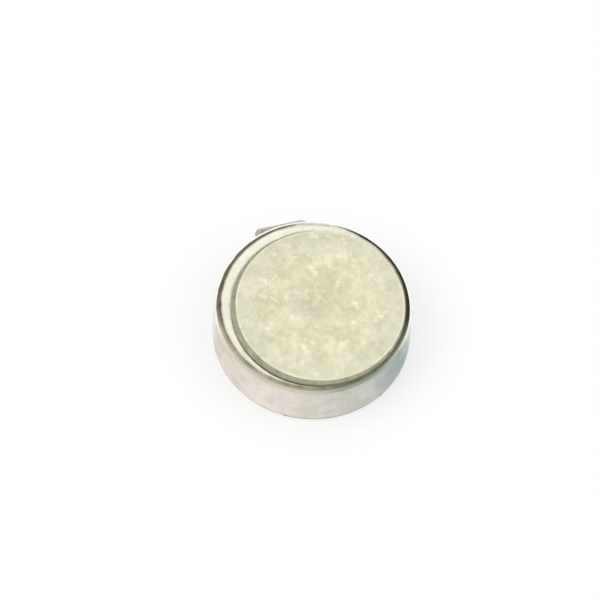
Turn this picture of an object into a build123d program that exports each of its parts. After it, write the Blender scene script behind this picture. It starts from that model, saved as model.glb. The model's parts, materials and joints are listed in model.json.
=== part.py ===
from build123d import *

import os

# A coin vibration motor: a flat steel can 10 mm across and 3 mm thick, with a brushed eccentric rotor
# inside. The origin is the centre of the base plate's underside, +Z is the motor's axis and points to the
# adhesive face, and the terminal tab points along +Y. Sizes are in millimetres.

# --- the can --------------------------------------------------------------------------------------
case_radius = 5.0
case_top = 3.0
sheet = 0.2  # gauge of the can and the base plate
case_corner = 0.45  # outside radius of the drawn corner
inner_corner = case_corner - sheet
base_radius = 4.95
base_top = sheet
base_edge_slope = 20.0  # of the plate's coined edge, in degrees: it narrows downwards

# a flat-bottomed seat pressed into the middle of the can, which steadies the shaft's top end
seat_depth = 0.12
seat_radius = 0.95  # of its underside, inside the can
seat_recess_radius = 0.75  # of the recess, outside the can
seat_under = case_top - sheet - seat_depth

# --- the tab and its way out of the can -----------------------------------------------------------
tab_end = 6.4
tab_width = 2.8
tab_corner = 0.35
notch_width = 2.9
notch_height = 0.42
notch_corner = 0.12
sealant_top = 0.7
sealant_reach = 5.3

# --- shaft, collar, bearing and washers -----------------------------------------------------------
shaft_radius = 0.4
shaft_bottom = 0.02
shaft_chamfer = 0.04
collar_radius = 0.75
collar_top = 0.65
washer_bore = 0.43
washer_thickness = 0.1
end_play = 0.04  # axial gap at each end of the bearing
bearing_radius = 0.85
bearing_bore = 0.42
bearing_bottom = collar_top + washer_thickness + end_play
bearing_top = seat_under - washer_thickness - end_play
bearing_chamfer = 0.05

# --- flexible circuit: base film, copper, cover film ----------------------------------------------
film_radius = 4.3
film_width = 2.3
film_end = 6.3
film_corner = 0.25
film_hole = 0.8
film_top = base_top + 0.06
copper_thickness = 0.03
copper_top = film_top + copper_thickness
cover_top = film_top + 0.06
cover_end = 5.4
trace_width = 0.5
trace_x = 0.75
terminal_x = 0.62
terminal_y = 5.87
terminal_size = (0.88, 0.7)  # a copper land, tinned all over
tinned_corner = 0.06
tinned_top = copper_top + 0.04

# --- brushes --------------------------------------------------------------------------------------
brush_x = 1.2
brush_width = 0.5
brush_gauge = 0.05
brush_heel_y = 1.5
brush_bend_y = 0.8
brush_crest_y = -0.8
brush_tip_y = -1.15
brush_bend_radius = 0.25
brush_crest_cut = 0.02  # height that the bend radius takes off the crest's corner
brush_slot = 0.06
brush_tines = 3
solder_film = 0.02  # solder left under the brush's foot
brush_land = (0.66, 0.95)
brush_land_y = 1.15
brush_window = (0.76, 1.05)
brush_solder_size = (0.6, 0.78)
brush_solder_height = 0.05

# --- magnet ---------------------------------------------------------------------------------------
magnet_bottom = cover_top + 0.02
magnet_top = magnet_bottom + 0.7
magnet_inner = 2.2
magnet_outer = 4.3
magnet_chamfer = 0.08
magnet_glue_inner = 2.35
magnet_glue_outer = 4.15

# --- rotor ----------------------------------------------------------------------------------------
rotor_radius = 4.4
rotor_edge_y = 0.35  # straight edge of the half-moon
board_bottom = 1.2
board_top = 1.32
board_hub_radius = 2.05
segment_inner = 1.0
segment_outer = 1.95
segment_thickness = 0.03
segment_bottom = board_bottom - segment_thickness
segment_count = 6
segment_gap_degrees = 5.0
segment_corner = 0.04
coil_bottom = board_top + 0.03  # resin runs under the windings
coil_top = 2.42
coil_inner = 1.2
coil_outer = 4.2
coil_corner = 0.5
coil_wall = 0.78  # width of the winding
coil_sweep = 60.0
coil_start = -58.0  # of the right-hand coil, in degrees
coil_round = 0.12  # on the top edges of the winding
molding_top = 2.35
hub_radius = 1.45
weight_inner = 1.3
weight_outer = 4.45
weight_start = -120.0
weight_sweep = 60.0
weight_corner = 0.12
weight_top = 2.6
weight_chamfer = 0.08
weight_step_radius = board_hub_radius + 0.03  # of the step that rests on the board's hub
lead_radius = 0.04
lead_axis_z = board_top + lead_radius + 0.04
inner_lead_x = 1.8
dot_ring = 1.72  # radius on which the coil ends are soldered
dot_angles = (35.0, 70.0)
dot_radius = 0.2
dot_sink = 0.05
outer_lead_ring = 1.96
outer_lead_turn = 60.0  # where the outer lead leaves its ring for its dot, in degrees

# --- adhesive disc and its liner, stuck on slightly off centre ------------------------------------
tape_radius = 4.4
tape_top = case_top + 0.15
tape_centre = (0.18, -0.235)
liner_radius = 4.28
liner_top = tape_top + 0.09
liner_centre = (0.30, -0.18)

# --- seam welds -----------------------------------------------------------------------------------
weld_count = 6
weld_radius = 0.09
weld_ring = 4.96

# clearance that lets the brushes touch the commutator without sharing volume
brush_contact_gap = 0.005

os.makedirs("parts", exist_ok=True)


def save(builder, name):
    """Label a finished part and write it to its own STEP file."""
    builder.part.label = name
    export_step(builder.part, f"parts/{name}.step")


def disc(radius, bottom, top, mode=Mode.ADD):
    """A round slab on the motor's axis, from one height to another, in the current part."""
    with Locations((0, 0, bottom)):
        Cylinder(radius, top - bottom, align=(Align.CENTER, Align.CENTER, Align.MIN), mode=mode)


def fan(inner, outer, start, sweep, corner):
    """The face of a ring sector with rounded corners; start and sweep are in degrees."""
    with BuildSketch(mode=Mode.PRIVATE) as shape:
        with BuildLine():
            near = CenterArc((0, 0), inner, start, sweep)
            far = CenterArc((0, 0), outer, start, sweep)
            Line(near @ 0, far @ 0)
            Line(near @ 1, far @ 1)
        make_face()
        fillet(shape.vertices(), corner)
    return shape.sketch


def half_moon(radius):
    """The heavy half of the rotor, in the current sketch: a disc cut off along its straight edge."""
    Circle(radius)
    with Locations((0, rotor_edge_y - radius)):
        Rectangle(2 * radius, 2 * radius, mode=Mode.INTERSECT)


def flex_outline(strip_end, corner):
    """The film's outline, in the current sketch: a disc under the magnet and a strip out to the tab."""
    with BuildSketch(mode=Mode.PRIVATE) as outline:
        Circle(film_radius)
        with Locations((0, strip_end / 2)):
            Rectangle(film_width, strip_end)
        fillet(outline.vertices().group_by(Axis.Y)[-1], corner)
        Circle(film_hole, mode=Mode.SUBTRACT)
    add(outline.sketch)


# ==================================================================================================
# Can and base
# ==================================================================================================

with BuildPart() as case_cup:
    disc(case_radius, base_top, case_top)
    fillet(case_cup.edges().filter_by(GeomType.CIRCLE).sort_by(Axis.Z)[-1], case_corner)
    disc(case_radius - sheet, base_top, case_top - sheet, mode=Mode.SUBTRACT)
    ceiling = case_cup.faces().filter_by(Plane.XY).group_by(Axis.Z)[1]
    fillet(ceiling.edges(), inner_corner)
    disc(seat_radius, seat_under, case_top - sheet)
    disc(seat_recess_radius, case_top - seat_depth, case_top, mode=Mode.SUBTRACT)
    fillet(case_cup.edges(Select.LAST).filter_by(GeomType.CIRCLE), seat_depth / 3)
    with BuildSketch(Plane.XZ.offset(-(case_radius - 1))) as notch:
        with Locations((0, base_top + notch_height / 2)):
            Rectangle(notch_width, notch_height)
        fillet(notch.vertices().group_by(Axis.Y)[-1], notch_corner)
    extrude(amount=-2, mode=Mode.SUBTRACT)
save(case_cup, "case_cup")

with BuildPart() as base_plate:
    with BuildSketch(Plane.XY.offset(base_top)) as plate_outline:
        Circle(base_radius)
        with Locations((0, tab_end / 2)):
            Rectangle(tab_width, tab_end)
        fillet(plate_outline.vertices().group_by(Axis.Y)[-1], tab_corner)
    extrude(amount=-base_top, taper=base_edge_slope)
    disc(collar_radius, base_top, collar_top)
    fillet(base_plate.edges().filter_by(GeomType.CIRCLE).group_by(Axis.Z)[-1], 0.06)
    disc(shaft_radius, 0, collar_top, mode=Mode.SUBTRACT)
save(base_plate, "base_plate")

# laser welds that bead over the seam between the can and the base plate, clear of the tab
with BuildPart() as seam_welds:
    with Locations((0, 0, base_top)):
        with PolarLocations(weld_ring, weld_count):
            Sphere(weld_radius)
    add([case_cup.part, base_plate.part], mode=Mode.SUBTRACT)
    disc(base_radius - sheet / 2, 0, case_top, mode=Mode.SUBTRACT)
save(seam_welds, "seam_welds")

with BuildPart() as shaft:
    disc(shaft_radius, shaft_bottom, seat_under)
    chamfer(shaft.edges().filter_by(GeomType.CIRCLE), shaft_chamfer)
save(shaft, "shaft")


# ==================================================================================================
# Flexible circuit, terminals and brushes
# ==================================================================================================

with BuildPart() as flex_base_film:
    with BuildSketch(Plane.XY.offset(base_top)):
        flex_outline(film_end, film_corner)
    extrude(amount=film_top - base_top)
save(flex_base_film, "flex_base_film")

traces = []
for pole, side in (("positive", 1), ("negative", -1)):
    with BuildPart() as flex_trace:
        with BuildSketch(Plane.XY.offset(film_top)):
            with Locations((side * brush_x, brush_land_y)):
                Rectangle(*brush_land)
            with Locations((side * trace_x, (brush_land_y + terminal_y) / 2)):
                Rectangle(trace_width, terminal_y - brush_land_y)
            with Locations((side * terminal_x, terminal_y)):
                Rectangle(*terminal_size)
        extrude(amount=copper_thickness)
    save(flex_trace, f"flex_trace_{pole}")
    traces.append(flex_trace.part)

    with BuildPart() as terminal:
        with BuildSketch(Plane.XY.offset(copper_top)):
            with Locations((side * terminal_x, terminal_y)):
                RectangleRounded(*terminal_size, tinned_corner)
        extrude(amount=tinned_top - copper_top)
    save(terminal, f"terminal_{pole}")

    # the underside of a leaf with a flat foot, an arm that climbs past the shaft, and a crest that bears on
    # the commutator
    crest_under = segment_bottom - brush_contact_gap - brush_gauge
    foot_under = copper_top + solder_film
    with BuildPart() as brush:
        with BuildSketch(Plane.YZ.offset(side * brush_x - brush_width / 2)):
            with BuildLine():
                leaf = FilletPolyline(
                    (brush_heel_y, foot_under),
                    (brush_bend_y, foot_under),
                    (brush_crest_y, crest_under + brush_crest_cut),
                    (brush_tip_y, crest_under - 2 * brush_gauge),
                    radius=brush_bend_radius,
                )
                offset(leaf, amount=brush_gauge, side=Side.RIGHT)
            make_face()
        extrude(amount=brush_width)
        tine_pitch = brush_width / brush_tines
        with BuildSketch():
            with Locations((side * brush_x, (brush_tip_y - 0.2) / 2)):
                with GridLocations(tine_pitch, 0, brush_tines - 1, 1):
                    Rectangle(brush_slot, brush_bend_y - brush_tip_y)
        extrude(amount=board_bottom, mode=Mode.SUBTRACT)
    save(brush, f"brush_{pole}")

    with BuildPart() as brush_solder:
        with BuildSketch(Plane.XY.offset(copper_top)):
            with Locations((side * brush_x, brush_land_y)):
                Rectangle(*brush_solder_size)
        extrude(amount=brush_solder_height, taper=35)
        add(brush.part, mode=Mode.SUBTRACT)
    save(brush_solder, f"brush_solder_{pole}")

with BuildPart() as flex_cover_film:
    with BuildSketch(Plane.XY.offset(film_top)):
        flex_outline(cover_end, film_corner / 5)
        with GridLocations(2 * brush_x, 0, 2, 1):
            with Locations((0, brush_land_y)):
                Rectangle(*brush_window, mode=Mode.SUBTRACT)
    extrude(amount=cover_top - film_top)
    add(traces, mode=Mode.SUBTRACT)
save(flex_cover_film, "flex_cover_film")

# cured resin that fills the notch and runs down in a fillet onto the tab where it leaves the can
with BuildPart() as exit_sealant:
    with BuildSketch(Plane.YZ):
        with BuildLine():
            toe = (sealant_reach, cover_top + 0.005)
            top = (case_radius, sealant_top)
            hollow = (case_radius + 0.35 * (sealant_reach - case_radius), cover_top + 0.13)
            ThreePointArc(toe, hollow, top)
            Polyline(top, (film_radius, sealant_top), (film_radius, base_top), (sealant_reach, base_top), toe)
        make_face()
    revolve(axis=Axis.Z)
    with Locations((0, case_radius, 0)):
        Box(notch_width, 2, case_top, mode=Mode.INTERSECT)
    disc(case_radius - sheet, base_top, case_top, mode=Mode.SUBTRACT)
    add([case_cup.part, flex_base_film.part, flex_cover_film.part, *traces], mode=Mode.SUBTRACT)
save(exit_sealant, "exit_sealant")


# ==================================================================================================
# Magnet and thrust washers
# ==================================================================================================

with BuildPart() as magnet_adhesive:
    disc(magnet_glue_outer, cover_top, magnet_bottom)
    disc(magnet_glue_inner, cover_top, magnet_bottom, mode=Mode.SUBTRACT)
save(magnet_adhesive, "magnet_adhesive")

with BuildPart() as ring_magnet:
    disc(magnet_outer, magnet_bottom, magnet_top)
    disc(magnet_inner, magnet_bottom, magnet_top, mode=Mode.SUBTRACT)
    chamfer(ring_magnet.edges().filter_by(GeomType.CIRCLE), magnet_chamfer)
save(ring_magnet, "ring_magnet")

washer_heights = {"lower": collar_top, "upper": seat_under - washer_thickness}
for end, bottom in washer_heights.items():
    with BuildPart() as thrust_washer:
        disc(collar_radius, bottom, bottom + washer_thickness)
        disc(washer_bore, bottom, bottom + washer_thickness, mode=Mode.SUBTRACT)
    save(thrust_washer, f"{end}_thrust_washer")


# ==================================================================================================
# Rotor
# ==================================================================================================

with BuildPart() as bearing_sleeve:
    disc(bearing_radius, bearing_bottom, bearing_top)
    disc(bearing_bore, bearing_bottom, bearing_top, mode=Mode.SUBTRACT)
    chamfer(bearing_sleeve.edges().filter_by(GeomType.CIRCLE), bearing_chamfer)
save(bearing_sleeve, "bearing_sleeve")

weight_face = fan(weight_inner, weight_outer, weight_start, weight_sweep, weight_corner)

# the two coils mirror each other about the YZ plane
coil_faces = {
    "right": fan(coil_inner, coil_outer, coil_start, coil_sweep, coil_corner),
    "left": fan(coil_inner, coil_outer, 180 - coil_start - coil_sweep, coil_sweep, coil_corner),
}
coils = []
for hand, face in coil_faces.items():
    with BuildPart() as coil:
        with BuildSketch(Plane.XY.offset(coil_bottom)):
            add(face)
            offset(face, amount=-coil_wall, mode=Mode.SUBTRACT)
        extrude(amount=coil_top - coil_bottom)
        fillet(coil.faces().sort_by(Axis.Z)[-1].edges(), coil_round)
    save(coil, f"coil_{hand}")
    coils.append(coil.part)

with BuildPart() as commutator_board:
    with BuildSketch(Plane.XY.offset(board_bottom)):
        half_moon(rotor_radius)
        add(weight_face, mode=Mode.SUBTRACT)
        Circle(board_hub_radius)
        Circle(bearing_radius, mode=Mode.SUBTRACT)
    extrude(amount=board_top - board_bottom)
save(commutator_board, "commutator_board")

segment_pitch = 360 / segment_count
for number in range(segment_count):
    with BuildPart() as commutator_segment:
        with BuildSketch(Plane.XY.offset(segment_bottom)):
            start = number * segment_pitch + segment_gap_degrees / 2
            add(fan(segment_inner, segment_outer, start, segment_pitch - segment_gap_degrees, segment_corner))
        extrude(amount=segment_thickness)
    save(commutator_segment, f"commutator_segment_{number + 1}")

# each coil's two ends run through the resin to the bare half of the board's hub, where they are soldered down
leads = []
for side in (1, -1):
    for angle in dot_angles:
        number = len(leads) + 1
        mirrored = angle if side == 1 else 180 - angle
        dot = Vector(dot_ring, 0, 0).rotate(Axis.Z, mirrored)
        with BuildPart() as coil_lead:
            with BuildLine(Plane.XY.offset(lead_axis_z)) as route:
                if angle == dot_angles[0]:
                    Line((side * inner_lead_x, 0), (dot.X, dot.Y))
                else:
                    turn = Vector(outer_lead_ring, 0, 0).rotate(Axis.Z, outer_lead_turn)
                    middle = Vector(outer_lead_ring, 0, 0).rotate(Axis.Z, outer_lead_turn / 2)
                    ring = ThreePointArc(
                        (side * outer_lead_ring, 0),
                        (side * middle.X, middle.Y),
                        (side * turn.X, turn.Y),
                    )
                    TangentArc(ring @ 1, (dot.X, dot.Y), tangent=ring % 1)
            with BuildSketch(Plane(origin=route.line @ 0, z_dir=route.line % 0)):
                Circle(lead_radius)
            sweep()
            add(coils, mode=Mode.SUBTRACT)
        save(coil_lead, f"coil_lead_{number}")
        leads.append(coil_lead.part)

        with BuildPart() as coil_solder:
            with Locations((dot.X, dot.Y, board_top - dot_sink)):
                Sphere(dot_radius)
            disc(board_hub_radius, board_bottom - dot_radius, board_top, mode=Mode.SUBTRACT)
            add(coil_lead.part, mode=Mode.SUBTRACT)
        save(coil_solder, f"coil_solder_{number}")

with BuildPart() as rotor_molding:
    with BuildSketch(Plane.XY.offset(board_top)):
        half_moon(rotor_radius)
        Circle(hub_radius)
        add(weight_face, mode=Mode.SUBTRACT)
        Circle(bearing_radius, mode=Mode.SUBTRACT)
    extrude(amount=molding_top - board_top)
    add([*coils, *leads], mode=Mode.SUBTRACT)
save(rotor_molding, "rotor_molding")

with BuildPart() as eccentric_weight:
    with BuildSketch(Plane.XY.offset(board_bottom)):
        add(weight_face)
    extrude(amount=weight_top - board_bottom)
    chamfer(eccentric_weight.faces().sort_by(Axis.Z)[-1].edges(), weight_chamfer)
    disc(weight_step_radius, board_bottom, board_top, mode=Mode.SUBTRACT)
save(eccentric_weight, "eccentric_weight")

# ==================================================================================================
# Adhesive disc and release liner
# ==================================================================================================

with BuildPart() as adhesive_tape:
    with BuildSketch(Plane.XY.offset(case_top)):
        with Locations(tape_centre):
            Circle(tape_radius)
    extrude(amount=tape_top - case_top)
save(adhesive_tape, "adhesive_tape")

with BuildPart() as release_liner:
    with BuildSketch(Plane.XY.offset(tape_top)):
        with Locations(liner_centre):
            Circle(liner_radius)
    extrude(amount=liner_top - tape_top)
save(release_liner, "release_liner")
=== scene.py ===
import json
import math

import bmesh
import bpy
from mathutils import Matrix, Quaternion, Vector, noise


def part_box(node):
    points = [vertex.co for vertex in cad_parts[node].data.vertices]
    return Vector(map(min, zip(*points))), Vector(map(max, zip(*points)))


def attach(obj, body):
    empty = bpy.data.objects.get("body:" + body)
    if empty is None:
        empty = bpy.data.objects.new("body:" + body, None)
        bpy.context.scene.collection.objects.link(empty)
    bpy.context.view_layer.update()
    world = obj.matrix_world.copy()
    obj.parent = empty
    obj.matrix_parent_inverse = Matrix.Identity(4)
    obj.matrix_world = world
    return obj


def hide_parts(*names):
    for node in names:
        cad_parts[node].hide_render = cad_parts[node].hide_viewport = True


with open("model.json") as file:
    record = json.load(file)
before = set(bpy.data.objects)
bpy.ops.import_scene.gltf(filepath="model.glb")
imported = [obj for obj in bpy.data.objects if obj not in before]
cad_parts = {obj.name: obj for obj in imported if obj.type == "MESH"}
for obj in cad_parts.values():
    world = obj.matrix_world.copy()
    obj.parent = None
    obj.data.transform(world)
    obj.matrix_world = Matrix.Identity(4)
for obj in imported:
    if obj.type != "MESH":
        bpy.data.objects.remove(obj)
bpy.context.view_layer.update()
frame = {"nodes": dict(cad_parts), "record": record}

# A coin vibration motor. The CAD frame is in metres; every length here is in millimetres, and MM turns it
# into metres. Angles are in degrees. The motor's axis is Z, and its terminal tab points along +Y.
MM = 0.001


def extent(node):
    """A CAD node's lowest and highest corners, in millimetres."""
    return [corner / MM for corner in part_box(node)]


# --- sizes read from the frame --------------------------------------------------------------------
case_low, case_high = extent("case_cup")
plate_high = extent("base_plate")[1]
liner_low, liner_high = extent("release_liner")
tape_low, tape_high = extent("adhesive_tape")
shaft_high = extent("shaft")[1]
case_radius = case_high.x
case_top = case_high.z
base_radius = plate_high.x
tab_end = plate_high.y
film_open = extent("flex_cover_film")[1].y
shaft_radius = shaft_high.x
seat_under = shaft_high.z
collar_top = plate_high.z
liner_radius = (liner_high.x - liner_low.x) / 2
liner_centre = (liner_low + liner_high) / 2
dip_shade_centre = Vector((0.1, 0.25))  # of the painted shade over the dip in the liner's paper
tape_radius = (tape_high.x - tape_low.x) / 2
tape_centre = (tape_low + tape_high) / 2

# --- sizes that the frame's boxes don't give ------------------------------------------------------
sheet = 0.2  # gauge of the can and the base plate
case_corner = 0.45
inner_corner = 0.25
seat_radius = 0.95
recess_radius = 0.75
recess_depth = 0.12
notch_half_width = 1.45
notch_top = 0.62
notch_corner = 0.12
plate_slope = 20.0  # of the plate's coined edge: it narrows downwards
tab_half_width = 1.4
tab_corner = 0.35
film_half_width = 1.15
film_top = 0.32
collar_radius = 0.75
weld_ring = 4.96
weld_count = 6
weld_sink = 0.06
weld_radius = 0.105
weld_height = 0.12
coil_inner = 1.2
coil_outer = 4.2
coil_start = -58.0
coil_sweep = 60.0
coil_wall = 0.78
coil_corner = 0.06  # radius on the corners of a winding's hole
coil_layers = 12
coil_turns = 16
trace_x = 0.75  # of the flexible circuit's two traces
brush_crest = 1.15
brush_track = 1.45  # radius that the brushes run at


# --- mesh work ------------------------------------------------------------------------------------

up = Vector((0, 0, 1))


def smooth(value, low, high):
    """0 below low, 1 above high, and a smooth rise between them."""
    t = min(max((value - low) / (high - low), 0.0), 1.0)
    return t * t * (3 - 2 * t)


def waver(x, y, z=0.0, pitch=1.0):
    """Smooth irregularity between about -1 and 1, with bumps about pitch millimetres across."""
    return noise.noise(Vector((x, y, z)) / pitch)


def spread(start, end, steps):
    """Evenly spaced values from start to end."""
    return [start + (end - start) * i / steps for i in range(steps + 1)]


def arc(centre_r, centre_z, radius, start, end, steps):
    """Points of a profile along an arc, as (r, z)."""
    angles = [math.radians(a) for a in spread(start, end, steps)]
    return [(centre_r + radius * math.cos(a), centre_z + radius * math.sin(a)) for a in angles]


def straight(start, end, steps):
    """Points of a profile along a straight run, without its last one."""
    return [tuple(a + (b - a) * i / steps for a, b in zip(start, end)) for i in range(steps)]


def around(steps):
    """Evenly spaced angles for one full turn, in radians."""
    return [math.tau * i / steps for i in range(steps)]


def lathe(profile, angles):
    """Loops round the motor's axis, one for each (r, z) of the profile."""
    return [[Vector((r * math.cos(a), r * math.sin(a), z)) for a in angles] for r, z in profile]


def skin(loops, closed=False):
    """Points and faces over a stack of loops. A closed stack joins end to end, an open one gets end fans."""
    size = len(loops[0])
    points = [point for loop in loops for point in loop]
    faces = []
    for i in range(len(loops) if closed else len(loops) - 1):
        low = i * size
        high = (i + 1) % len(loops) * size
        for j in range(size):
            k = (j + 1) % size
            faces.append((low + j, low + k, high + k, high + j))
    if not closed:
        for i, turn in ((0, -1), (len(loops) - 1, 1)):
            hub = len(points)
            points.append(sum(loops[i], Vector()) / size)
            for j in range(size):
                k = (j + 1) % size
                faces.append((i * size + j, i * size + k, hub)[::turn])
    return points, faces


def piece(name, body, slot, skins, replaces, sharp=35.0):
    """One mesh made of closed skins, shaded smooth except at its sharp edges, that rides on its CAD body."""
    points, faces = [], []
    for skin_points, skin_faces in skins:
        base = len(points)
        points += [point * MM for point in skin_points]
        faces += [tuple(base + i for i in face) for face in skin_faces]
    mesh = bpy.data.meshes.new(name)
    mesh.from_pydata(points, [], faces)
    work = bmesh.new()
    work.from_mesh(mesh)
    bmesh.ops.recalc_face_normals(work, faces=work.faces)
    work.to_mesh(mesh)
    work.free()
    mesh.shade_smooth()
    mesh.set_sharp_from_angle(angle=math.radians(sharp))
    mesh.materials.append(finishes[slot])
    made = bpy.data.objects.new(name, mesh)
    bpy.context.scene.collection.objects.link(made)
    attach(made, body)
    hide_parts(*replaces)


# --- material work --------------------------------------------------------------------------------

def tint(red, green, blue):
    """A shader colour from display values of 0 to 255."""
    return [((c / 255 + 0.055) / 1.055) ** 2.4 for c in (red, green, blue)] + [1.0]


class Shading:
    """A node tree, with short ways to add the nodes used here."""

    def __init__(self, tree):
        self.tree = tree

    def node(self, kind, inputs, **settings):
        made = self.tree.nodes.new("ShaderNode" + kind)
        for name, value in settings.items():
            setattr(made, name, value)
        for key, value in inputs.items():
            self.feed(made.inputs[key], value)
        return made

    def feed(self, socket, value):
        """Link a socket to another one, or set its own value."""
        if isinstance(value, bpy.types.NodeSocket):
            self.tree.links.new(value, socket)
        else:
            socket.default_value = value

    def math(self, operation, a, b=0.0):
        return self.node("Math", {0: a, 1: b}, operation=operation).outputs[0]

    def part(self, vector, direction):
        """How far a vector lies along a direction."""
        return self.node("VectorMath", {0: vector, 1: direction}, operation="DOT_PRODUCT").outputs["Value"]

    def fit(self, value, low, high, to_low=0.0, to_high=1.0):
        """Map low..high onto to_low..to_high, with no overshoot."""
        inputs = {"Value": value, "From Min": low, "From Max": high, "To Min": to_low, "To Max": to_high}
        return self.node("MapRange", inputs).outputs[0]

    def band(self, value, middle, half_width):
        """1 on the middle of a band and 0 outside it."""
        away = self.math("ABSOLUTE", self.math("SUBTRACT", value, middle))
        return self.fit(away, half_width, 0.0)

    def mix(self, factor, a, b):
        """The colour a where the factor is 0, and b where it is 1."""
        return self.node("Mix", {0: factor, 6: a, 7: b}, data_type="RGBA").outputs[2]


class Finish(Shading):
    """A Principled material whose maps are worked out in the part's own frame, in millimetres."""

    def __init__(self, name, **uniform):
        self.material = bpy.data.materials.new(name)
        self.material.use_nodes = True
        super().__init__(self.material.node_tree)
        self.shader = self.tree.nodes["Principled BSDF"]
        for socket, value in uniform.items():
            self.shader.inputs[socket.replace("_", " ")].default_value = value
        metres = self.node("TexCoord", {}).outputs["Object"]
        self.place = self.node("VectorMath", {0: metres, "Scale": 1 / MM}, operation="SCALE").outputs[0]
        self.x, self.y, self.z = self.node("SeparateXYZ", {0: self.place}).outputs
        flat = self.scaled(self.place, 1, 1, 0)
        self.radius = self.node("VectorMath", {0: flat}, operation="LENGTH").outputs["Value"]
        self.spoke = self.node("VectorMath", {0: flat}, operation="NORMALIZE").outputs[0]

    def scaled(self, vector, x, y, z):
        return self.node("VectorMath", {0: vector, 1: (x, y, z)}, operation="MULTIPLY").outputs[0]

    def moved(self, vector, x, y, z):
        return self.node("VectorMath", {0: vector, 1: (x, y, z)}, operation="ADD").outputs[0]

    def joined(self, x, y, z):
        return self.node("CombineXYZ", {0: x, 1: y, 2: z}).outputs[0]

    def distance(self, point):
        return self.node("VectorMath", {0: self.place, 1: point}, operation="DISTANCE").outputs["Value"]

    def noise(self, pitch, place=None, detail=3.0, rough=0.5, distortion=0.0):
        """Noise with features about pitch millimetres across."""
        inputs = {
            "Vector": place or self.place,
            "Scale": 1 / pitch,
            "Detail": detail,
            "Roughness": rough,
            "Distortion": distortion,
        }
        return self.node("TexNoise", inputs).outputs[0]

    def cells(self, pitch):
        """Distance within scattered cells about pitch millimetres across."""
        inputs = {"Vector": self.place, "Scale": 1 / pitch}
        return self.node("TexVoronoi", inputs).outputs["Distance"]

    def finished(self, colour, roughness, *relief):
        """Plug the maps into the shader. Each relief is a height map and its depth in millimetres."""
        self.feed(self.shader.inputs["Base Color"], colour)
        self.feed(self.shader.inputs["Roughness"], roughness)
        normal = None
        for height, depth in relief:
            inputs = {"Height": height, "Distance": depth * MM}
            if normal:
                inputs["Normal"] = normal
            normal = self.node("Bump", inputs).outputs[0]
        if normal:
            self.feed(self.shader.inputs["Normal"], normal)
        return self.material


def bare_steel(f, wall, bands):
    """The can's colour: clean on the flat end, streaked and finger-marked on the wall, with painted shade
    along its lower lip.
    """
    clouds = f.noise(1.3, detail=4.0)
    clean = f.mix(clouds, tint(222, 221, 208), tint(248, 247, 240))
    streaked = f.mix(f.fit(bands, 0.3, 0.7), tint(231, 228, 223), tint(243, 241, 237))
    # painted shade: darker along the can's lower lip, at the seam over the base plate
    seam_shade = f.math("MULTIPLY", f.fit(f.z, 0.34, 0.26), f.fit(bands, 0.3, 0.6, 0.4, 0.8))
    marks = f.noise(0.8, f.moved(f.place, 9.0, 2.0, 6.0), detail=3.0, distortion=0.4)
    smudged = f.mix(f.fit(marks, 0.44, 0.66, 0.0, 0.42), streaked, tint(206, 202, 190))
    return f.mix(wall, clean, f.mix(seam_shade, smudged, tint(150, 146, 138)))


def painted_rim_shade(f, metal, ring):
    """A painted dark reflection line round the drawn corner, and painted shade along the tape's edge."""
    # painted reflection: a thin dark line round the drawn corner, where it would mirror the dim room
    broken = f.fit(f.noise(1.1, ring, detail=3.0), 0.36, 0.6)
    line = f.math("MULTIPLY", f.band(f.radius, case_radius - 0.33, 0.16), broken)
    reflection_lined = f.mix(f.math("MULTIPLY", line, 0.6), metal, tint(96, 92, 78))
    # painted shade: olive darkening on the flat end just outside the tape's uneven edge
    from_tape = f.distance((tape_centre.x, tape_centre.y, case_top))
    shade_wander = f.fit(f.noise(0.5, f.moved(f.place, 3.0, 1.0, 4.0), detail=4.0), 0.35, 0.65, 0.06, 0.16)
    tape_edge_shade = f.fit(f.math("SUBTRACT", from_tape, shade_wander), tape_radius, tape_radius - 0.1)
    return f.mix(f.math("MULTIPLY", tape_edge_shade, 0.5), reflection_lined, tint(160, 156, 130))


def case_steel():
    """Nickel-plated drawn steel: bright on the closed end and satin along the wall."""
    f = Finish("case_steel", Metallic=1.0)
    ring = f.scaled(f.spoke, case_radius, case_radius, 0)
    parts = f.node("SeparateXYZ", {0: ring}).outputs
    along_wall = f.joined(parts[0], parts[1], f.math("MULTIPLY", f.z, 0.06))
    bands = f.noise(0.9, along_wall, detail=2.0)
    grain = f.noise(0.05, along_wall, detail=4.0, rough=0.6)
    wall = f.fit(f.radius, case_radius - 0.12, case_radius - 0.02)
    colour = painted_rim_shade(f, bare_steel(f, wall, bands), ring)
    handled = f.fit(f.noise(0.6, detail=5.0, rough=0.6), 0.35, 0.75, 0.1, 0.2)
    satin = f.fit(grain, 0.3, 0.7, 0.24, 0.36)
    roughness = f.math("ADD", handled, f.math("MULTIPLY", wall, satin))
    scratches = f.noise(0.03, f.scaled(f.place, 1, 0.05, 1), detail=2.0)
    return f.finished(colour, roughness, (grain, 0.0012), (scratches, 0.0003))


def base_steel():
    """Nickel-plated strip with its rolled grain, faint stains and a few fine scratches."""
    f = Finish("base_steel", Metallic=1.0)
    rolled = f.noise(0.06, f.scaled(f.place, 1, 0.04, 1), detail=4.0, rough=0.6)
    stain = f.noise(1.7, detail=4.0, distortion=0.6)
    pits = f.fit(f.cells(0.22), 0.0, 0.1)
    clean = f.mix(stain, tint(205, 203, 197), tint(226, 224, 219))
    colour = f.mix(f.fit(pits, 0.0, 1.0, 0.25, 0.0), clean, tint(120, 112, 100))
    roughness = f.fit(rolled, 0.3, 0.7, 0.26, 0.4)
    scratch = f.fit(f.noise(0.5, f.scaled(f.place, 0.08, 1.0, 1), detail=5.0), 0.47, 0.53)
    return f.finished(colour, roughness, (rolled, 0.002), (scratch, 0.0006), (pits, 0.001))


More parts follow.
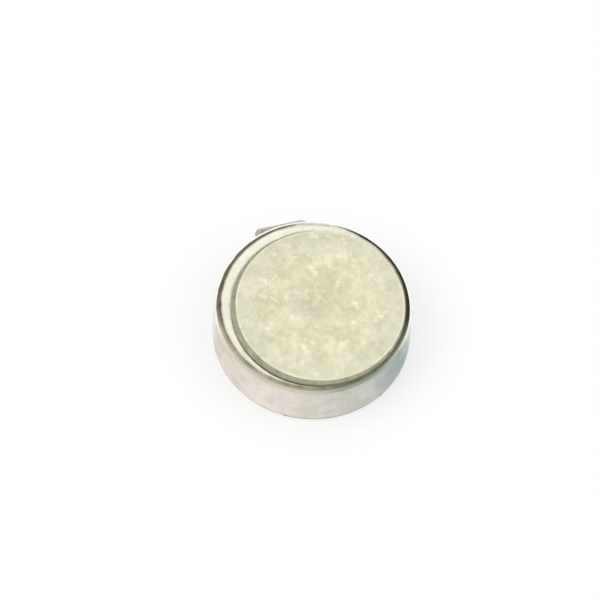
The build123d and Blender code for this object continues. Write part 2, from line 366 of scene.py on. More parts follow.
def weld_steel():
    """Spot welds: bright ripples in the pool, straw and blue heat tint at its rim."""
    f = Finish("weld_steel", Metallic=0.6)
    height = f.fit(f.radius, case_radius - 0.02, case_radius + 0.04)
    blotch = f.noise(0.08, detail=3.0)
    tinted = f.mix(f.fit(blotch, 0.35, 0.65), tint(190, 172, 142), tint(150, 154, 164))
    colour = f.mix(height, tinted, tint(214, 211, 204))
    roughness = f.fit(blotch, 0.3, 0.7, 0.24, 0.42)
    return f.finished(colour, roughness, (f.noise(0.02), 0.002))


def shaft_steel():
    """Ground hardened steel with fine rings round it."""
    f = Finish("shaft_steel", Metallic=1.0)
    rings = f.noise(0.02, f.joined(0.0, 0.0, f.z), detail=3.0)
    clouds = f.noise(0.3)
    colour = f.mix(clouds, tint(205, 206, 208), tint(226, 227, 229))
    return f.finished(colour, f.fit(rings, 0.3, 0.7, 0.08, 0.2), (rings, 0.0006))


def film(name, light, dark, trace):
    """Flexible-circuit film, a little cloudy, with the copper below it showing through as warmer stripes."""
    f = Finish(name, Coat_Weight=0.4, Coat_Roughness=0.15, IOR=1.7)
    clouds = f.noise(0.7, detail=4.0)
    dust = f.fit(f.cells(0.3), 0.0, 0.035)
    side = f.math("ABSOLUTE", f.x)
    stripe = f.fit(f.math("ABSOLUTE", f.math("SUBTRACT", side, trace_x)), 0.27, 0.23)
    film_colour = f.mix(clouds, dark, light)
    over_copper = f.mix(f.math("MULTIPLY", stripe, 0.75), film_colour, trace)
    colour = f.mix(f.fit(dust, 0.0, 1.0, 0.5, 0.0), over_copper, tint(236, 232, 220))
    ripple = f.noise(0.25, detail=2.0)
    return f.finished(colour, f.fit(clouds, 0.3, 0.7, 0.2, 0.34), (stripe, 0.012), (ripple, 0.002))


def copper():
    """Etched copper foil, lightly oxidised, and tinned where the cover film leaves it open on the tab."""
    f = Finish("copper", Metallic=1.0)
    clouds = f.noise(0.35, detail=5.0, rough=0.6)
    grain = f.noise(0.03, f.scaled(f.place, 1, 0.2, 1))
    bare = f.mix(f.fit(clouds, 0.3, 0.7), tint(178, 96, 62), tint(222, 142, 102))
    colour = f.mix(f.fit(f.y, film_open - 0.03, film_open), bare, tint(198, 194, 184))
    return f.finished(colour, f.fit(grain, 0.3, 0.7, 0.28, 0.46), (grain, 0.001))


def solder():
    """Tin solder: bright and faintly frosted, with fine crystals in its skin."""
    f = Finish("solder", Metallic=1.0)
    frost = f.noise(0.05, detail=5.0, rough=0.65)
    clouds = f.noise(0.3, detail=3.0)
    colour = f.mix(clouds, tint(186, 186, 182), tint(226, 226, 222))
    crystals = f.cells(0.06)
    roughness = f.fit(frost, 0.3, 0.7, 0.28, 0.5)
    return f.finished(colour, roughness, (frost, 0.0012), (crystals, 0.0012))


def brush_alloy():
    """Gold-flashed spring alloy, with its rolled grain along the leaf and bright wear at the crest."""
    f = Finish("brush_alloy", Metallic=1.0)
    grain = f.noise(0.03, f.scaled(f.place, 1, 0.05, 0.05), detail=3.0)
    clouds = f.noise(0.25, detail=4.0)
    worn = f.fit(f.z, brush_crest - 0.07, brush_crest)
    gold = f.mix(clouds, tint(196, 158, 92), tint(232, 202, 138))
    colour = f.mix(f.math("MULTIPLY", worn, 0.7), gold, tint(206, 198, 182))
    return f.finished(colour, f.fit(grain, 0.3, 0.7, 0.2, 0.36), (grain, 0.001))


def sealant():
    """Cured resin, cloudy cream, with small bubbles under a glossy skin."""
    f = Finish("sealant", Coat_Weight=0.6, Coat_Roughness=0.08, Subsurface_Weight=0.2)
    f.shader.inputs["Subsurface Radius"].default_value = (0.0004, 0.0003, 0.0002)
    clouds = f.noise(0.4, detail=4.0)
    bubbles = f.fit(f.cells(0.16), 0.02, 0.07)
    body = f.mix(clouds, tint(218, 214, 194), tint(240, 237, 222))
    colour = f.mix(f.fit(bubbles, 0.0, 1.0, 0.45, 0.0), body, tint(246, 243, 230))
    return f.finished(colour, f.fit(clouds, 0.3, 0.7, 0.14, 0.28), (bubbles, 0.004), (clouds, 0.01))


def magnet_plating():
    """Bonded magnet under a dark satin coat, with fine orange peel and chips of bare grey at its edges."""
    f = Finish("magnet_plating", Metallic=0.35, Coat_Weight=0.2, Coat_Roughness=0.3)
    peel = f.noise(0.07, detail=4.0, rough=0.6)
    clouds = f.noise(0.8, detail=3.0)
    low, high = extent("ring_magnet")
    rims = f.math("MAXIMUM", f.band(f.z, low.z + 0.04, 0.06), f.band(f.z, high.z - 0.04, 0.06))
    chipped = f.math("MULTIPLY", rims, f.fit(f.noise(0.18, detail=4.0), 0.54, 0.64))
    dark = f.mix(clouds, tint(54, 54, 57), tint(82, 82, 85))
    colour = f.mix(f.math("MULTIPLY", chipped, 0.7), dark, tint(138, 136, 132))
    return f.finished(colour, f.fit(peel, 0.3, 0.7, 0.34, 0.52), (peel, 0.003))


def adhesive():
    """A cured amber glue line with a few trapped bubbles."""
    f = Finish("adhesive", Coat_Weight=0.3, Coat_Roughness=0.2)
    clouds = f.noise(0.3, detail=4.0)
    bubbles = f.fit(f.cells(0.12), 0.02, 0.06)
    body = f.mix(clouds, tint(170, 140, 84), tint(206, 182, 128))
    colour = f.mix(f.fit(bubbles, 0.0, 1.0, 0.4, 0.0), body, tint(226, 210, 168))
    return f.finished(colour, f.fit(clouds, 0.3, 0.7, 0.25, 0.42), (bubbles, 0.003))


def washer_plastic():
    """Natural low-friction film, milky, with turned lines round the shaft."""
    f = Finish("washer_plastic", Subsurface_Weight=0.15)
    f.shader.inputs["Subsurface Radius"].default_value = (0.0003, 0.0003, 0.0003)
    rings = f.noise(0.02, f.joined(f.radius, 0.0, 0.0), detail=3.0)
    clouds = f.noise(0.3, detail=3.0)
    colour = f.mix(clouds, tint(206, 203, 192), tint(232, 230, 222))
    return f.finished(colour, f.fit(rings, 0.3, 0.7, 0.38, 0.56), (rings, 0.001))


def bearing_bronze():
    """Sintered bronze: grains with open pores between them, dark with oil."""
    f = Finish("bearing_bronze", Metallic=1.0)
    grains = f.cells(0.035)
    pores = f.fit(f.noise(0.045, detail=3.0, rough=0.6), 0.38, 0.46)
    clouds = f.noise(0.4, detail=3.0)
    metal = f.mix(clouds, tint(150, 112, 66), tint(188, 150, 96))
    colour = f.mix(pores, tint(60, 42, 24), metal)
    return f.finished(colour, f.fit(grains, 0.0, 0.6, 0.3, 0.5), (pores, 0.006), (grains, 0.002))


def board_laminate():
    """Green glass-epoxy laminate, with its weave faintly proud under the mask."""
    f = Finish("board_laminate", Coat_Weight=0.25, Coat_Roughness=0.25)
    warp = f.math("SINE", f.math("MULTIPLY", f.x, math.tau / 0.16))
    weft = f.math("SINE", f.math("MULTIPLY", f.y, math.tau / 0.16))
    weave = f.fit(f.math("MULTIPLY", warp, weft), -1.0, 1.0)
    clouds = f.noise(0.6, detail=4.0)
    green = f.mix(clouds, tint(38, 84, 42), tint(58, 112, 58))
    colour = f.mix(f.math("MULTIPLY", weave, 0.3), green, tint(98, 140, 84))
    return f.finished(colour, f.fit(clouds, 0.3, 0.7, 0.34, 0.5), (weave, 0.004))


def commutator_gold():
    """Gold plating with the brushes' tracks worn round it."""
    f = Finish("commutator_gold", Metallic=1.0)
    rings = f.noise(0.012, f.joined(f.radius, 0.0, 0.0), detail=3.0)
    track = f.band(f.radius, brush_track, 0.3)
    clouds = f.noise(0.25, detail=4.0)
    gold = f.mix(clouds, tint(214, 168, 88), tint(240, 204, 128))
    dusty = f.math("MULTIPLY", track, f.fit(rings, 0.35, 0.65, 0.15, 0.8))
    colour = f.mix(dusty, gold, tint(120, 100, 70))
    return f.finished(colour, f.fit(rings, 0.3, 0.7, 0.16, 0.34), (rings, 0.0015))


def magnet_wire():
    """Enamelled copper wire, its colour a little different from turn to turn."""
    f = Finish("magnet_wire", Metallic=0.8, Coat_Weight=0.7, Coat_Roughness=0.12)
    turns = f.noise(0.07, detail=2.0)
    clouds = f.noise(0.8, detail=3.0)
    warm = f.mix(f.fit(turns, 0.3, 0.7), tint(150, 72, 34), tint(204, 118, 62))
    colour = f.mix(f.fit(clouds, 0.4, 0.8, 0.0, 0.4), warm, tint(120, 58, 30))
    return f.finished(colour, f.fit(turns, 0.3, 0.7, 0.2, 0.34), (f.noise(0.02), 0.001))


def rotor_resin():
    """Black moulded resin with glass fibres just under its skin."""
    f = Finish("rotor_resin")
    texture = f.noise(0.05, detail=5.0, rough=0.6)
    fibres = f.fit(f.noise(0.04, f.scaled(f.place, 1, 0.12, 1), detail=2.0), 0.56, 0.68)
    clouds = f.noise(0.9, detail=3.0)
    black = f.mix(clouds, tint(26, 26, 28), tint(42, 42, 44))
    colour = f.mix(f.math("MULTIPLY", fibres, 0.2), black, tint(104, 104, 106))
    return f.finished(colour, f.fit(texture, 0.3, 0.7, 0.4, 0.62), (texture, 0.004))


def heavy_alloy():
    """Sintered tungsten alloy: close grey grain, rubbed brighter in patches by tumbling."""
    f = Finish("heavy_alloy", Metallic=1.0)
    grains = f.cells(0.04)
    clouds = f.noise(0.5, detail=4.0)
    grey = f.mix(clouds, tint(116, 116, 120), tint(150, 150, 154))
    rubbed = f.fit(f.noise(0.3, detail=5.0), 0.42, 0.7, 0.0, 0.3)
    colour = f.mix(rubbed, grey, tint(186, 186, 188))
    return f.finished(colour, f.fit(grains, 0.0, 0.6, 0.26, 0.42), (grains, 0.002), (clouds, 0.002))


def tape_layers():
    """Double-sided tape seen from its edge, toned dark olive partly as painted shade along the pad's edge: a
    darker carrier between two olive layers of adhesive.
    """
    f = Finish("tape_foam", Coat_Weight=0.15, Coat_Roughness=0.3)
    middle = f.band(f.z, (tape_low.z + tape_high.z) / 2, 0.045)
    clouds = f.noise(0.5, detail=4.0)
    fibres = f.noise(0.12, f.scaled(f.place, 1, 0.2, 1), detail=4.0, rough=0.6)
    crossed = f.noise(0.12, f.scaled(f.place, 0.2, 1, 1), detail=4.0, rough=0.6)
    woven = f.math("MULTIPLY", f.math("MAXIMUM", fibres, crossed), 0.6)
    tissue = f.math("ADD", f.math("MULTIPLY", clouds, 0.4), woven)
    lint = f.fit(f.cells(0.25), 0.0, 0.05)
    # dark olive tones that partly paint the shade along the pad's edge
    shaded_olive = f.mix(f.fit(tissue, 0.4, 0.66), tint(136, 134, 110), tint(178, 175, 149))
    shaded_layers = f.mix(f.math("MULTIPLY", middle, 0.5), shaded_olive, tint(90, 88, 70))
    colour = f.mix(f.fit(lint, 0.0, 1.0, 0.5, 0.0), shaded_layers, tint(168, 162, 134))
    return f.finished(colour, f.fit(clouds, 0.3, 0.7, 0.42, 0.6), (clouds, 0.004), (f.noise(0.04), 0.002))


def liner_paper():
    """Cream release paper: soft mottling, painted shade over the dip above the can's recess, and a paler cut
    edge.
    """
    f = Finish("liner_paper", Specular_IOR_Level=0.35)
    light = f.noise(1.0, detail=3.0, rough=0.55, distortion=0.4)
    hue = f.noise(1.3, f.moved(f.place, 31.0, 7.0, 3.0), detail=4.0, rough=0.55)
    fine = f.noise(0.3, f.moved(f.place, 2.0, 11.0, 8.0), detail=4.0)
    pale = f.noise(0.45, f.moved(f.place, 5.0, 19.0, 1.0), detail=3.0)
    fibres = f.noise(0.09, f.scaled(f.place, 1, 0.35, 1), detail=4.0, rough=0.6)
    blotches = f.math("ADD", f.fit(light, 0.4, 0.58, 0.0, 0.45), f.fit(fine, 0.35, 0.65, 0.0, 0.55))
    greenish = f.mix(blotches, tint(208, 204, 172), tint(236, 233, 203))
    creamy = f.mix(blotches, tint(211, 205, 172), tint(240, 234, 205))
    mottled = f.mix(f.fit(hue, 0.42, 0.58), greenish, creamy)
    flecked = f.mix(f.fit(pale, 0.6, 0.68, 0.0, 0.75), mottled, tint(250, 245, 218))
    worn = f.mix(f.fit(fibres, 0.3, 0.7, 0.14, 0.0), flecked, tint(196, 186, 158))
    # painted shade: a darker spot where the liner dips over the can's recess
    patch = f.fit(f.distance((dip_shade_centre.x, dip_shade_centre.y, liner_high.z)), 1.6, 0.4)
    dip_shade_amount = f.math("MULTIPLY", patch, f.fit(f.noise(0.5, detail=4.0), 0.38, 0.56, 0.15, 0.8))
    dip_shaded = f.mix(dip_shade_amount, worn, tint(196, 190, 160))
    from_edge = f.distance((liner_centre.x, liner_centre.y, liner_high.z))
    # darker towards the liner's edge
    darker_outwards = f.mix(f.fit(from_edge, 2.8, liner_radius, 0.0, 0.35), dip_shaded, tint(204, 204, 178))
    # paler band along the liner's cut edge
    paler_edge_band = f.fit(from_edge, liner_radius - 0.16, liner_radius - 0.02)
    rim = f.math("MULTIPLY", paler_edge_band, f.fit(f.noise(0.8, detail=3.0), 0.35, 0.6, 0.25, 0.9))
    colour = f.mix(rim, darker_outwards, tint(246, 243, 220))
    roughness = f.fit(light, 0.3, 0.7, 0.5, 0.66)
    return f.finished(colour, roughness, (fibres, 0.0022), (pale, 0.003))


# every slot's finish, which carried-over CAD nodes and new pieces share
finishes = {
    "case_steel": case_steel(),
    "base_steel": base_steel(),
    "weld_steel": weld_steel(),
    "shaft_steel": shaft_steel(),
    "polyimide": film("polyimide", tint(196, 194, 184), tint(176, 173, 160), tint(198, 182, 160)),
    "coverlay": film("coverlay", tint(222, 220, 212), tint(206, 203, 192), tint(214, 202, 184)),
    "copper": copper(),
    "solder": solder(),
    "brush_alloy": brush_alloy(),
    "sealant": sealant(),
    "magnet_plating": magnet_plating(),
    "adhesive": adhesive(),
    "washer_plastic": washer_plastic(),
    "bearing_bronze": bearing_bronze(),
    "board_laminate": board_laminate(),
    "commutator_gold": commutator_gold(),
    "magnet_wire": magnet_wire(),
    "rotor_resin": rotor_resin(),
    "heavy_alloy": heavy_alloy(),
    "tape_foam": tape_layers(),
    "liner_paper": liner_paper(),
}
for subpart in frame["record"]["subparts"]:
    node_mesh = frame["nodes"][subpart["node"]].data
    node_mesh.materials.clear()
    node_mesh.materials.append(finishes[subpart["material_slot"]])


# --- can and base plate ---------------------------------------------------------------------------

plate_seam = case_low.z
lift_from = 0.9  # height below which the wall's points follow the notch
edge_round = 0.03
drawing_marks = 0.006  # depth of the marks along the wall
corner_dents = 0.035  # greatest depth of the dents round the corner
inside = case_radius - sheet
flat_radius = case_radius - case_corner
ceiling = case_top - sheet
recess_floor = case_top - recess_depth


def case_angles():
    """Angles round the can, closer together beside the notch's two sides."""
    side = math.asin(notch_half_width / case_radius)
    corner = math.asin((notch_half_width - notch_corner) / case_radius)
    hair = 1e-4
    close = [corner + (side - corner) * i / 5 for i in range(5)] + [side - hair, side + hair]
    marks = [math.pi / 2 + sign * offset for sign in (1, -1) for offset in close]
    even = [a for a in around(384) if all(abs(a - mark) > 0.004 for mark in marks)]
    return sorted(even + marks)


def notch_height(angle):
    """Height of the can's lower edge at an angle: the seam, or the notch that the tab leaves by."""
    across = abs(case_radius * math.cos(angle))
    if math.sin(angle) < 0 or across > notch_half_width:
        return plate_seam
    over = max(across - (notch_half_width - notch_corner), 0.0)
    return notch_top - notch_corner + math.sqrt(max(notch_corner ** 2 - over ** 2, 0.0))


def case_point(r, z, angle):
    """A point of the can: parallel notch sides, a lifted edge over the notch, and faint drawing marks."""
    x, y = r * math.cos(angle), r * math.sin(angle)
    away = abs(angle - math.pi / 2)
    beside_notch = 1 - smooth(away, math.radians(21), math.radians(30))
    hold = beside_notch * (1 - smooth(z, lift_from, 2 * lift_from))
    if hold > 0:
        x = x + (case_radius * math.cos(angle) - x) * hold
        y = math.sqrt(r * r - x * x)
    if z < lift_from:
        share = (lift_from - z) / (lift_from - plate_seam)
        z = lift_from - share * (lift_from - notch_height(angle))
    marks = 0.5 + 0.25 * waver(x, y, 0, 1.4) + 0.25 * waver(x, y, 5, 0.55)
    on_wall = smooth(r, flat_radius, case_radius)
    shrink = 1 - drawing_marks * on_wall * marks / case_radius
    dent = max(waver(x, y, 9 + z, 0.5), 0.0) * max(waver(x, y, 3, 2.2) + 0.15, 0.0)
    on_corner = smooth(r, flat_radius - 0.05, flat_radius + 0.15) * smooth(z, case_top - 0.5, case_top - 0.2)
    return Vector((x * shrink, y * shrink, z - corner_dents * dent * on_corner))


case_profile = [
    *straight((0.2, recess_floor), (recess_radius - 0.04, recess_floor), 2),
    *arc(recess_radius - 0.04, recess_floor + 0.04, 0.04, -90, 0, 4),
    *arc(recess_radius + 0.04, case_top - 0.04, 0.04, 180, 90, 4),
    *straight((1.2, case_top), (flat_radius, case_top), 12),
    *arc(flat_radius, case_top - case_corner, case_corner, 90, 0, 18),
    *straight((case_radius, case_top - case_corner - 0.1), (case_radius, lift_from), 8),
    *straight((case_radius, lift_from), (case_radius, plate_seam + edge_round), 5),
    *arc(case_radius - edge_round, plate_seam + edge_round, edge_round, 0, -90, 3),
    *arc(inside + 0.01, plate_seam + 0.01, 0.01, -90, -180, 2),
    *straight((inside, plate_seam + 0.1), (inside, lift_from), 4),
    *straight((inside, lift_from), (inside, ceiling - inner_corner), 3),
    *arc(inside - inner_corner, ceiling - inner_corner, inner_corner, 0, 90, 6),
    *straight((inside - inner_corner - 0.1, ceiling), (seat_radius, ceiling), 6),
    *straight((seat_radius, ceiling), (seat_radius, seat_under), 1),
    (seat_radius, seat_under),
    (0.3, seat_under),
]
case_loops = [[case_point(r, z, angle) for angle in case_angles()] for r, z in case_profile]
piece("case_cup_shell", "housing", "case_steel", [skin(case_loops)], ["case_cup"], sharp=50.0)


def plate_outline():
    """The plate's outline, a circle with a tab growing out of it, each point with its outward direction."""
    outline = []
    root = math.acos(tab_half_width / base_radius)
    for angle in spread(math.pi - root, math.tau + root, 320):
        outward = Vector((math.cos(angle), math.sin(angle), 0))
        outline.append((outward * base_radius, outward))
    shoulder = tab_end - tab_corner
    root_y = base_radius * math.sin(root)
    for side in (1, -1):
        outward = Vector((side, 0, 0))
        edge = [Vector((side * tab_half_width, y, 0)) for y in spread(root_y, shoulder, 8)[1:]]
        centre = Vector((side * (tab_half_width - tab_corner), shoulder, 0))
        turned = [math.radians(a) for a in spread(0, 90, 10)[1:]]
        bends = [Vector((side * math.cos(a), math.sin(a), 0)) for a in turned]
        run = [(point, outward) for point in edge] + [(centre + bend * tab_corner, bend) for bend in bends]
        outline += run if side == 1 else run[::-1]
    return outline


def plate_loop(inset, z, share=0.0):
    """The outline set in and lifted; a share of 0 is the outline and 1 is the collar's circle."""
    loop = []
    for point, outward in plate_outline():
        rim = point - outward * inset
        spoke = rim.normalized() * collar_radius
        mixed = rim.lerp(spoke, share)
        loop.append(Vector((mixed.x, mixed.y, z)))
    return loop


plate_top = sheet
slope_inset = plate_top * math.tan(math.radians(plate_slope))
coin = 0.025  # radius on the plate's edges
underside = [plate_loop(slope_inset + coin, 0, share) for share in (0.96, 0.8, 0.6, 0.4, 0.2, 0.08, 0.0)]
edge_loops = [
    plate_loop(slope_inset + 0.4 * coin, 0.15 * coin),
    plate_loop(slope_inset - 0.1 * coin, 0.8 * coin),
    plate_loop(0.03, plate_top - coin),
    plate_loop(0.3 * coin, plate_top - 0.2 * coin),
    plate_loop(coin, plate_top),
]
topside = [plate_loop(coin, plate_top, share) for share in (0.1, 0.3, 0.5, 0.7, 0.9)]
hub_angles = [math.atan2(point.y, point.x) for point, _ in plate_outline()]
drawn_in = arc(shaft_radius + 0.07, 0.07, 0.07, 180, 270, 4)
collar_profile = [
    *arc(collar_radius + 0.05, plate_top + 0.05, 0.05, 270, 180, 3),
    *arc(collar_radius - 0.06, collar_top - 0.06, 0.06, 0, 90, 4),
    (shaft_radius, collar_top),
]
plate_loops = [
    *lathe(drawn_in, hub_angles),
    *underside,
    *edge_loops,
    *topside,
    *lathe(collar_profile, hub_angles),
]
piece("base_plate_pressing", "housing", "base_steel", [skin(plate_loops, closed=True)], ["base_plate"])


# --- welds, solder and windings -------------------------------------------------------------------

def weld_bead(angle):
    """A spot weld over the seam: a low dome with ripples left by the cooling pool."""
    outward = Vector((math.cos(angle), math.sin(angle), 0))
    sideways = Vector((-math.sin(angle), math.cos(angle), 0))
    root = outward * (weld_ring - weld_sink) + up * plate_top
    loops = []
    for i in range(1, 17):
        open_angle = math.pi / 2 * i / 16
        ripple = 1 + 0.05 * math.sin(i * 2.6)
        reach = weld_radius * math.sin(open_angle) * ripple
        crown = root + outward * weld_height * math.cos(open_angle)
        wide, tall = sideways * reach * 1.15, up * reach * 0.85
        loops.append([crown + wide * math.cos(a) + tall * math.sin(a) for a in around(24)])
    return skin(loops)


welds = [weld_bead(angle) for angle in around(weld_count)]
piece("seam_weld_beads", "housing", "weld_steel", welds, ["seam_welds"])


def tinned_land(node):
    """Solder that has wetted a land: a crowned pad with rounded corners and an uneven foot."""
    low, high = extent(node)
    centre = (low + high) / 2
    half_x, half_y = (high.x - low.x) / 2, (high.y - low.y) / 2
    loops = []
    for i in range(1, 11):
        share = i / 10
        loop = []
        for angle in around(64):
            c, s = math.cos(angle), math.sin(angle)
            square = (abs(c) ** 10 + abs(s) ** 10) ** -0.1
            foot = share * square * (1 + 0.02 * waver(c, s, centre.x, 0.6))
            z = low.z + (high.z - low.z) * (1 - share ** 4) ** 0.6
            x = centre.x + half_x * foot * c
            y = centre.y + half_y * foot * s
            loop.append(Vector((min(max(x, low.x), high.x), min(max(y, low.y), high.y), z)))
        loops.append(loop)
    return skin(loops)


for pole in ("positive", "negative"):
    node = f"terminal_{pole}"
    piece(f"tinned_land_{pole}", "housing", "solder", [tinned_land(node)], [node])


def resin_section(x):
    """The cured resin's outline at x, as (r, z): a soft bead from the can's wall down onto the tab."""
    low, high = extent("exit_sealant")
    bulge = max(1 - abs(x / high.x) ** 3, 0.0) ** 0.6
    wander = 0.5 + 0.5 * waver(x, 0, 3, 0.5)
    reach = case_radius + 0.01 + (high.y - case_radius - 0.01) * bulge * (1 - 0.12 * wander)
    crest = notch_top + 0.005 + (high.z - notch_top - 0.005) * bulge * (1 - 0.3 * wander)
    film_edge = smooth(abs(x), film_half_width - 0.1, film_half_width + 0.05)
    foot = film_top - 0.01 - (film_top - 0.01 - low.z) * film_edge
    toe = foot + 0.015
    outline = [(inside, foot), (case_radius, foot)]
    for i in range(13):
        turn = math.radians(90 * i / 12)
        out = 0.6 * math.cos(turn) + 0.4 * (1 - i / 12)
        rise = 0.6 * math.sin(turn) + 0.4 * i / 12
        outline.append((case_radius + (reach - case_radius) * out, toe + (crest - toe) * rise))
    return outline + [(case_radius - 0.02, notch_top), (inside, notch_top)]


def resin_loops():
    """The resin from one end of the notch to the other, with its sections closer together at its two ends."""
    loops = []
    for angle in spread(-90, 90, 60):
        x = 0.999 * notch_half_width * math.sin(math.radians(angle))
        loops.append([Vector((x, math.sqrt(r * r - x * x), z)) for r, z in resin_section(x)])
    return loops


piece("exit_resin_bead", "housing", "sealant", [skin(resin_loops())], ["exit_sealant"], sharp=60.0)


def polar(radius, angle):
    """A point at a radius and an angle in degrees."""
    return Vector((math.cos(math.radians(angle)), math.sin(math.radians(angle)), 0)) * radius


def winding_core():
    """Points round a winding's hole, a ring sector, each with the direction that turns build up in."""
    wall = coil_wall + coil_corner
    near, far = coil_inner + wall, coil_outer - wall
    first, last = coil_start, coil_start + coil_sweep
    near_lean, far_lean = (math.degrees(math.asin(wall / radius)) for radius in (near, far))
    near_first, near_last = first + near_lean, last - near_lean
    far_first, far_last = first + far_lean, last - far_lean

    def corner(spot, start, end, steps):
        return [(spot, polar(1, a)) for a in spread(start, end, steps)[1:]]

    def side(start, end, facing):
        return [(start.lerp(end, t), polar(1, facing)) for t in spread(0, 1, 8)[1:]]

    return [
        *[(polar(far, a), polar(1, a)) for a in spread(far_first, far_last, 18)],
        *corner(polar(far, far_last), far_last, last + 90, 10),
        *side(polar(far, far_last), polar(near, near_last), last + 90),
        *corner(polar(near, near_last), last + 90, near_last + 180, 8),
        *[(polar(near, a), polar(1, a + 180)) for a in spread(near_last, near_first, 8)[1:]],
        *corner(polar(near, near_first), near_first + 180, first + 270, 8),
        *side(polar(near, near_first), polar(far, far_first), first + 270),
        *corner(polar(far, far_first), first + 270, far_first + 360, 10)[:-1],
    ]


def winding_section(bottom, top):
    """A winding's cross-section as (build-up, height): a block of round wires, scalloped on every side."""
    across, along = coil_wall / coil_layers, (top - bottom) / coil_turns
    wire = across / 2
    left, right = wire, coil_wall - wire
    low, high = bottom + along / 2, top - along / 2
    sides = [
        (90, coil_layers, left, high, across, 0),
        (0, coil_turns, right, high, 0, -along),
        (-90, coil_layers, right, low, -across, 0),
        (-180, coil_turns, left, low, 0, along),
    ]
    section = []
    for facing, count, start, level, step, climb in sides:
        for i in range(count - 1):
            for turn in range(60 if i else 150, -61, -30):
                a = math.radians(facing + turn)
                centre_x, centre_z = start + i * step, level + i * climb
                section.append((centre_x + wire * math.cos(a), centre_z + wire * math.sin(a)))
    return section


for hand, mirror in (("right", 1), ("left", -1)):
    node = f"coil_{hand}"
    coil_low, coil_high = extent(node)
    loops = []
    for build_up, level in winding_section(coil_low.z, coil_high.z):
        turns = [spot + outward * (coil_corner + build_up) for spot, outward in winding_core()]
        loops.append([Vector((point.x * mirror, point.y, level)) for point in turns])
    piece(f"winding_{hand}", "rotor", "magnet_wire", [skin(loops, closed=True)], [node], sharp=80.0)


# --- tape and liner -------------------------------------------------------------------------------

def cut_edge(radius, wander, seed):
    """A die-cut disc's radius at each angle: never over radius, and a little uneven."""
    def at(angle):
        c, s = math.cos(angle), math.sin(angle)
        uneven = 0.65 * waver(c, s, seed, 0.9) + 0.35 * waver(c, s, seed + 4, 0.16)
        return radius - wander * (0.5 + 0.5 * uneven)
    return at


def disc_loops(profile, centre, edge, lift):
    """Loops of a round sheet. The profile gives (share of the radius, inset from the edge, z)."""
    loops = []
    for share, inset, z in profile:
        loop = []
        for angle in around(256):
            r = share * (edge(angle) - inset)
            x, y = centre.x + r * math.cos(angle), centre.y + r * math.sin(angle)
            loop.append(Vector((x, y, lift(x, y, z, share))))
        loops.append(loop)
    return loops


def flat_lift(x, y, z, share):
    """A sheet that lies flat."""
    return z


adhesive_thickness = 0.045
tape_bottom, tape_top = tape_low.z, tape_high.z
lower_joint, upper_joint = tape_bottom + adhesive_thickness, tape_top - adhesive_thickness
tape_profile = [
    (0.5, 0, tape_bottom),
    *[(1, inset, z) for inset, z in (
        (0.03, tape_bottom),
        (0.006, tape_bottom + 0.008),
        (0.0, tape_bottom + 0.02),
        (0.01, lower_joint - 0.006),
        (0.035, lower_joint),
        (0.03, (lower_joint + upper_joint) / 2),
        (0.035, upper_joint),
        (0.008, upper_joint + 0.007),
        (0.0, tape_top - 0.02),
        (0.006, tape_top - 0.008),
        (0.025, tape_top - 0.001),
        (0.07, tape_top),
    )],
    (0.9, 0, tape_top),
    (0.5, 0, tape_top),
]
tape_edge = cut_edge(tape_radius, 0.03, 2.0)
tape_loops = disc_loops(tape_profile, tape_centre, tape_edge, flat_lift)
piece("adhesive_tape_layers", "housing", "tape_foam", [skin(tape_loops)], ["adhesive_tape"], sharp=50.0)


def liner_lift(x, y, z, share):
    """The liner's upper face: faint ripples, and a soft dip where the can's recess gives way below it."""
    if z < liner_high.z - 0.03:
        return z
    ripple = 0.008 * (1 + waver(x, y, 1, 1.7)) + 0.003 * (1 + waver(x, y, 7, 0.5))
    dip = 0.022 * (1 - smooth(math.hypot(x, y), 0.15, 0.95))
    return z - ripple - dip


liner_bottom, liner_top = liner_low.z, liner_high.z
liner_profile = [
    (0.5, 0, liner_bottom),
    (1, 0.012, liner_bottom),
    (1, 0.0, liner_bottom + 0.008),
    (1, 0.006, liner_bottom + 0.03),
    (1, 0.014, liner_top - 0.022),
    (1, 0.02, liner_top - 0.008),
    (1, 0.036, liner_top),
    (1, 0.07, liner_top),
    *[(share, 0, liner_top) for share in spread(0.97, 0.02, 46)],
]
liner_edge = cut_edge(liner_radius, 0.035, 11.0)
liner_loops = disc_loops(liner_profile, liner_centre, liner_edge, liner_lift)
piece("release_liner_sheet", "liner", "liner_paper", [skin(liner_loops)], ["release_liner"], sharp=50.0)


# --- camera, floor and light ----------------------------------------------------------------------

view_azimuth = -18.0
view_elevation = 61.5
view_roll = 4.0
frame_width = 30.09  # what the picture takes in at the can's rim
lens_length = 300.0
sensor_width = 36.0
rim_right, rim_down = 0.672, 0.261  # how far the rim's centre lies from the picture's


def towards(azimuth, elevation):
    """Unit vector from the motor; azimuth 0 is in front, at -Y, and grows towards +X."""
    a, e = math.radians(azimuth), math.radians(elevation)
    return Vector((math.sin(a) * math.cos(e), -math.cos(a) * math.cos(e), math.sin(e)))


view_forwards = towards(view_azimuth, 0)
view_right = towards(view_azimuth + 90, 0)
camera_data = bpy.data.cameras.new("camera")
camera_data.lens = lens_length
camera_data.sensor_width = sensor_width
camera = bpy.data.objects.new("camera", camera_data)
bpy.context.scene.collection.objects.link(camera)
bpy.context.scene.camera = camera
back = towards(view_azimuth, view_elevation)
facing = (-back).to_track_quat("-Z", "Y") @ Quaternion((0, 0, 1), math.radians(view_roll))
aim = Vector((0, 0, case_top)) - facing @ Vector((rim_right, -rim_down, 0))
camera.rotation_mode = "QUATERNION"
camera.rotation_quaternion = facing
camera.location = (aim + back * frame_width * lens_length / sensor_width) * MM


def ramp_stops(ramp, interpolation, stops):
    """Give a colour ramp its stops, each a position and a colour, with its two ends first."""
    ramp.interpolation = interpolation
    for i, (position, colour) in enumerate(stops):
        element = ramp.elements[i] if i < 2 else ramp.elements.new(position)
        element.position = position
        element.color = colour


